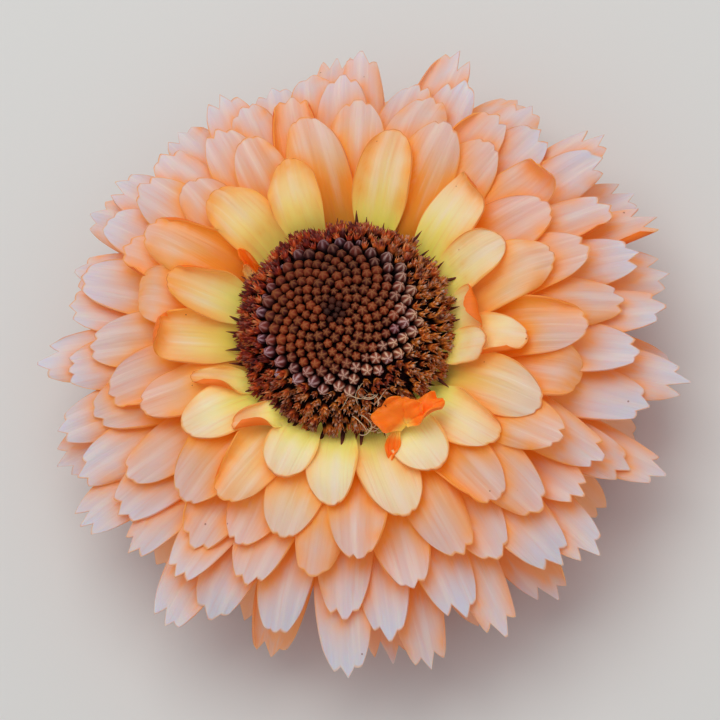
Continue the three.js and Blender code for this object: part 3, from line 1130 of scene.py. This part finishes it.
threads = []
straight = corners(thread) / MM
for k in range(THREADS):
    angle = math.radians(THREAD_SIDE + 26 * draw(k, 33))
    r = 11.2 + 2.4 * draw(k, 34)
    height = DISC_WAIST + DISC_RISE * math.sqrt(max(0, 1 - (r / DISC_RADIUS) ** 2)) + 1.3
    spin = Matrix.Rotation(2 * math.pi * draw(k, 35), 4, "Z")
    lean = Matrix.Rotation(1.6 * draw(k, 36) + 0.5, 4, "X")
    at = Matrix.Rotation(angle, 4, "Z") @ Matrix.Translation((r, 0, height)) @ spin @ lean
    piece = placed_copy(thread, Matrix.Identity(4), draw(k, 37) + 0.5, THREAD)
    move_corners(piece, curl_thread(straight, 1.1 + 0.6 * draw(k, 38), 0.25))
    piece.data.transform(in_metres(at))
    threads.append(piece)
disc = joined([disc, *threads], "disc_of_florets")
for template in (thread, bud, open_floret, spike):
    bpy.data.objects.remove(template)
print("disc:", len(disc.data.polygons), "faces")

# %% The dome under the florets
DOME_RADIUS = 11.7
DOME_RINGS = [(10.6, 22.2), (11.4, 22.7), (DOME_RADIUS, 23.5)]
for share in (0.3, 0.55, 0.75, 0.88, 0.96, 0.995):
    height = share * (DISC_RISE - 0.3)
    DOME_RINGS.append((DOME_RADIUS * math.sqrt(1 - share**2), DISC_WAIST + height))
dome = turned("disc_dome", 64, DOME_RINGS)

# %% [markdown]
# ## The florets' finish
# Closed buds are maroon-brown with thin pale seams, darkest in the middle, and each carries a pale
# painted highlight on its top. Their lower sides, the feet of the open florets and the ground under
# them are painted black-purple as the shade in the gaps. The larger buds round them have broad
# lilac-beige seams. The open florets are rusty and mottled, with pale lobes and ochre tips, and the
# spikes are dark maroon. One side of the head is painted as if lit, with paler tips, more golden
# rust and warmer ripe buds, and the buds towards the other side are painted in shade. Each kind
# could have a material of its own; one does it all here, because each copy carries a number for its
# kind.


# %% Disc colours
RUST_RAMP = [
    (0.15, (72, 10, 14)),
    (0.40, (144, 34, 10)),
    (0.62, (204, 76, 14)),
    (0.85, (234, 152, 96)),
]


def disc_finish():
    finish, shader, field = new_finish(
        "florets",
        Roughness=0.6,
        Specular_IOR_Level=0.22,
        Subsurface_Weight=0.1,
        Subsurface_Scale=0.3 * MM,
    )
    names = ("rise", "seam", "ripe", "chance")
    rise, seam, ripe, chance = (field.carried(name) for name in names)
    place = field.place()
    # Painted light: the side of the disc towards +X and -Y is painted as lit, with paler tips,
    # golden rust and warmer ripe buds; the buds towards +Y are painted in shade.
    towards = place.part(0) - 0.6 * place.part(1)
    sunny = towards.step(-8 * MM, 12 * MM) * place.noise(260, 1).step(0.25, 0.5)
    shady = place.part(1).step(-4 * MM, 11 * MM)
    purple = field.mixed((86, 30, 46), (140, 66, 40), sunny)
    pale = ripe.ramp([(0.0, (184, 112, 52)), (1.0, (206, 170, 184))])
    pale = pale.blend((232, 186, 150), sunny * ripe.step(-0.3, 1.0))
    line = seam.step(0.3, 0.9) * rise.step(0.3, 0.7)
    buds = chance.ramp([(0.1, (78, 12, 6)), (0.9, (136, 42, 10))]).coated(
        (purple, ripe.step(0.2, 1.0) * 0.75),
        (pale, line * ripe.step(-0.5, 1.0, 0.3, 0.95) * (0.65 + 0.35 * sunny)),
        # Painted highlight: a pale spot on each bud's top.
        (pale, rise.step(0.7, 0.88) * 0.25),
        ((40, 12, 8), ripe.step(-0.1, -0.9) * 0.85),
    )
    # Painted shade: the buds' lower sides go near black in the gaps, and more of each bud is shaded
    # towards +Y.
    buds = field.mixed((18, 3, 6), buds, rise.step(0.1, 0.72) * (1 - 0.45 * shady))
    mottle = place.noise(1100, 2)
    tips = seam.step(0.3, 0.9) * rise.step(0.9, 1.25) * mottle.step(0.35, 0.6)
    lobes = (0.5 * chance + 1.1 * (mottle - 0.5) + 0.2).ramp(RUST_RAMP).coated(
        ((242, 142, 48), sunny * mottle.step(0.3, 0.6) * 0.85),
        ((246, 204, 184), tips * (0.2 + 0.8 * sunny)),
        ((206, 128, 44), rise.step(1.2, 1.27) * chance.step(0.4, 0.7)),
    )
    # Painted shade: the open florets go near black at their feet.
    lobes = field.mixed((34, 6, 8), lobes, rise.step(0.0, 0.8))
    maroon = field.mixed((58, 20, 18), (124, 56, 34), rise.step(0.6, 2.2))
    kinds = ((lobes, OPEN), (maroon, SPIKE), ((226, 196, 160), THREAD))
    colour = buds.coated(*((own, ripe.step(kind - 0.6, kind - 0.4)) for own, kind in kinds))
    clothe(shader, colour, place.noise(2600, 3), 0.08)
    return finish


def speckled_finish(name, scale, dark, light, bumps, **constants):
    """Two colours mixed by small specks, which are raised as well."""
    finish, shader, field = new_finish(name, **constants)
    speckle = field.place().noise(scale, 3)
    clothe(shader, speckle.ramp([(0.3, dark), (0.7, light)]), speckle, bumps)
    return finish


# Painted shade: the ground under the florets is near black, for the shade in the gaps between them.
SHADED_GROUND = ((20, 4, 8), (46, 14, 16))
PALE_FLESH = ((150, 158, 84), (196, 194, 120))
dull = {"Roughness": 0.8, "Specular_IOR_Level": 0.1}
paint(disc, disc_finish())
belongs(disc, "disc_florets")
paint(dome, speckled_finish("disc_ground_in_shade", 1500, *SHADED_GROUND, 0.2, **dull))
belongs(dome, "disc_florets")
paint(receptacle, speckled_finish("receptacle_flesh", 700, *PALE_FLESH, 0.3, Roughness=0.6))
belongs(receptacle, "petals")

# %% [markdown]
# ## The green base
# Under the petals sits a green cup, and round it two rows of narrow bracts that wrapped the bud.
# The cup is turned and gets fourteen soft ribs; the bracts are one strap, bent and copied; all of
# them carry the short stiff hairs that make the real ones feel rough.

# %% The cup
SCAR_RADIUS = 2.6
CUP_RINGS = [
    (1.2, 0.25), (2.3, 0.0), (SCAR_RADIUS, 0.15), (2.62, 0.7), (2.8, 1.2), (3.6, 1.75), (5.1, 2.6),
    (6.5, 3.5), (7.6, 4.4), (8.3, 5.3), (8.5, 6.2), (8.1, 6.8), (7.2, 7.05),
]
CUP_RIBS = 14
cup = turned("cup", 4 * CUP_RIBS, CUP_RINGS)
reshape(cup, lambda co: co.z > 0.5 and math.cos(CUP_RIBS * math.atan2(co.y, co.x)) > 0.5, 1.035)
print("cup:", len(cup.data.polygons), "faces")

# %% The bracts
BRACTS_PER_ROW = 14
BRACT_THICKNESS = 0.4
BRACT_HALF_WIDTH = 1.32
bract_blank, bract_flat = flat_grid(6, 12)


def bract_surface(number, u, v):
    """Corner places of one bract in mm, for shares u along it and v across it."""
    row, k = divmod(number, BRACTS_PER_ROW)
    angle = (k + row / 2) / BRACTS_PER_ROW * 2 * math.pi + math.radians(4) * draw(number, 7)
    root = (6.4, 4.6 - 1.1 * row)
    tip = (15.5 + 1.2 * draw(number, 6) - 1.2 * row, 6.8 - 1.65 * row)
    at, _ = arc(root, tip, math.radians(8))
    half = BRACT_HALF_WIDTH * (1 - u**2.2) ** 0.75 + 0.03
    across = -v * half + 0.9 * draw(number, 40) * u**2
    keel = -0.28 * (1 - np.abs(v)) ** 2 * (1 - u) + 0.12 * np.abs(v)
    lift = keel + 0.12 * np.sin(9 * u + 6 * draw(number, 41)) * u
    return beside_arc(at, u, across, lift, angle, angle, 0.0)


bracts = []
for number in range(2 * BRACTS_PER_ROW):
    piece = copy_of(bract_blank)
    along, across = (bract_flat[:, 1] + 1) / 2, bract_flat[:, 0]
    move_corners(piece, bract_surface(number, along, across))
    carry(piece, along=along, across=across)
    bracts.append(piece)
bpy.data.objects.remove(bract_blank)
bract_piece = joined(bracts, "bracts")
thicken(bract_piece, BRACT_THICKNESS)
print("bracts:", len(bract_piece.data.polygons), "faces")

# %% The hairs
BRACT_HAIRS = 18
CUP_HAIRS = 260
HAIR_RADIUS = 0.05
HAIR_LENGTH = 0.7

bpy.ops.object.select_all(action="DESELECT")
bpy.ops.mesh.primitive_cone_add(vertices=3, radius1=HAIR_RADIUS * MM, depth=HAIR_LENGTH * MM)
hair = bpy.context.object
reshape(hair, lambda co: True, 1, 0.3)


def hair_at(place, way, k):
    way = way + Vector((draw(k, 50), draw(k, 51), draw(k, 52))) * 1.1
    turn = way.to_track_quat("Z", "Y").to_matrix().to_4x4()
    size = 1 + 0.7 * draw(k, 53)
    matrix = Matrix.Translation(place) @ turn @ Matrix.Diagonal((1, 1, size, 1))
    return placed_copy(hair, matrix, draw(k, 54) + 0.5, 0.0)


hairs = []
for number in range(2 * BRACTS_PER_ROW):
    for j in range(BRACT_HAIRS):
        count = number * BRACT_HAIRS + j
        u_hair = np.array([0.25 + 0.7 * (draw(count, 55) + 0.5)])
        side = 1 if j % 2 else -1
        v_hair = np.array([side * (0.97 if j % 3 else 0.5)])
        place = Vector(bract_surface(number, u_hair, v_hair)[0].tolist())
        outward = Vector((place.x, place.y, 0)).normalized()
        beside = outward.cross(Vector((0, 0, 1))) * side
        way = beside + Vector((0, 0, -0.4)) if j % 3 else Vector((0, 0, -1))
        hairs.append(hair_at(place, way, count))
for j in range(CUP_HAIRS):
    angle = j * GOLDEN_ANGLE
    ring = 3.5 + 6.5 * (draw(j, 56) + 0.5)
    lower = int(ring)
    r, z = (mix(a, b, ring - lower) for a, b in zip(CUP_RINGS[lower], CUP_RINGS[lower + 1]))
    outward = Vector((math.cos(angle), math.sin(angle), 0))
    hairs.append(hair_at(outward * r + Vector((0, 0, z)), outward + Vector((0, 0, -0.7)), j + 900))
hair_piece = joined(hairs, "hairs_of_the_base")
bpy.data.objects.remove(hair)
print("hairs:", len(hairs))

# %% [markdown]
# ## The finish of the green base
# Leafy green with a paler keel on each bract, purplish at the tips, and a lighter pith where the
# stalk was broken off.


# %% Green finishes
def green_finish(name, roughness, patch_scale, dark, light):
    """A soft green in two shades, for a piece to add its own marks to."""
    tissue = {"Subsurface_Weight": 0.15, "Subsurface_Scale": 0.4 * MM}
    finish, shader, field = new_finish(name, Roughness=roughness, **tissue)
    colour = field.place().noise(patch_scale, 3).ramp([(0.3, dark), (0.7, light)])
    return finish, shader, field, colour


def leaf_finish():
    shades = ((84, 112, 48), (124, 150, 72))
    finish, shader, field, colour = green_finish("bract_green", 0.55, 420, *shades)
    keel = field.carried("across").maths_of("ABSOLUTE").step(0.22, 0.0)
    tip = field.carried("along").step(0.82, 1.0)
    colour = colour.coated(((168, 186, 112), keel * 0.6), ((120, 66, 62), tip * 0.7))
    clothe(shader, colour, field.place().noise(2200, 3), 0.12)
    return finish


def cup_finish():
    shades = ((98, 124, 56), (142, 162, 84))
    finish, shader, field, colour = green_finish("cup_green", 0.6, 380, *shades)
    place = field.place()
    x, y, z = (place.part(k) for k in range(3))
    from_axis = (x * x + y * y) ** 0.5
    pith_stops = [(0.45, (206, 206, 150)), (0.62, (120, 128, 66))]
    pith = from_axis.ramp_over(0, SCAR_RADIUS * MM, pith_stops)
    colour = colour.blend(pith, z.step(0.6 * MM, 0.2 * MM))
    clothe(shader, colour, place.noise(2200, 3), 0.15)
    return finish


def hair_finish():
    finish, shader, field = new_finish("hair_pale", Roughness=0.5)
    colour = field.carried("chance").ramp([(0.0, (176, 190, 140)), (1.0, (222, 226, 196))])
    plug(field.tree, shader.inputs["Base Color"], colour)
    return finish


for piece, finish in (
    (cup, cup_finish()),
    (bract_piece, leaf_finish()),
    (hair_piece, hair_finish()),
):
    paint(piece, finish)
    belongs(piece, "green_base")

# %% [markdown]
# ## Floor and light
# The flower lies on a plain pale table under an overcast sky: one large soft light from beyond the
# head, and an even pale surround.

# %% Floor
FLOOR_SIZE = 3  # in metres
bpy.ops.mesh.primitive_plane_add(size=FLOOR_SIZE)
floor = bpy.context.object
floor.name = "floor"
floor_finish, floor_shader, _ = new_finish("pale_table", Roughness=0.9)
floor_shader.inputs["Base Color"].default_value = display(226, 225, 222)
floor.data.materials.append(floor_finish)

# %% Light
SKY_PLACE = Vector((-0.04, 0.16, 0.50))  # in metres, as are the next two
SKY_AIM = Vector((0, 0, 0.015))
SKY_SIZE = 0.45
SKY_POWER = 1.2
SKY_COLOUR = (1, 0.98, 0.94)
SURROUND_COLOUR = (0.93, 0.96, 1, 1)
SURROUND_STRENGTH = 0.53

bpy.ops.object.light_add(type="AREA")
sky = bpy.context.object
sky.data.shape = "DISK"
sky.data.size = SKY_SIZE
sky.data.energy = SKY_POWER
sky.data.color = SKY_COLOUR
sky.location = SKY_PLACE
sky.rotation_euler = (SKY_AIM - SKY_PLACE).to_track_quat("-Z", "Y").to_euler()
world = bpy.data.worlds.new("surround")
bpy.context.scene.world = world
world.use_nodes = True
surround = world.node_tree.nodes["Background"]
surround.inputs["Color"].default_value = SURROUND_COLOUR
surround.inputs["Strength"].default_value = SURROUND_STRENGTH
bpy.context.scene.view_settings.view_transform = "Standard"
print("light at", [round(c, 2) for c in sky.location])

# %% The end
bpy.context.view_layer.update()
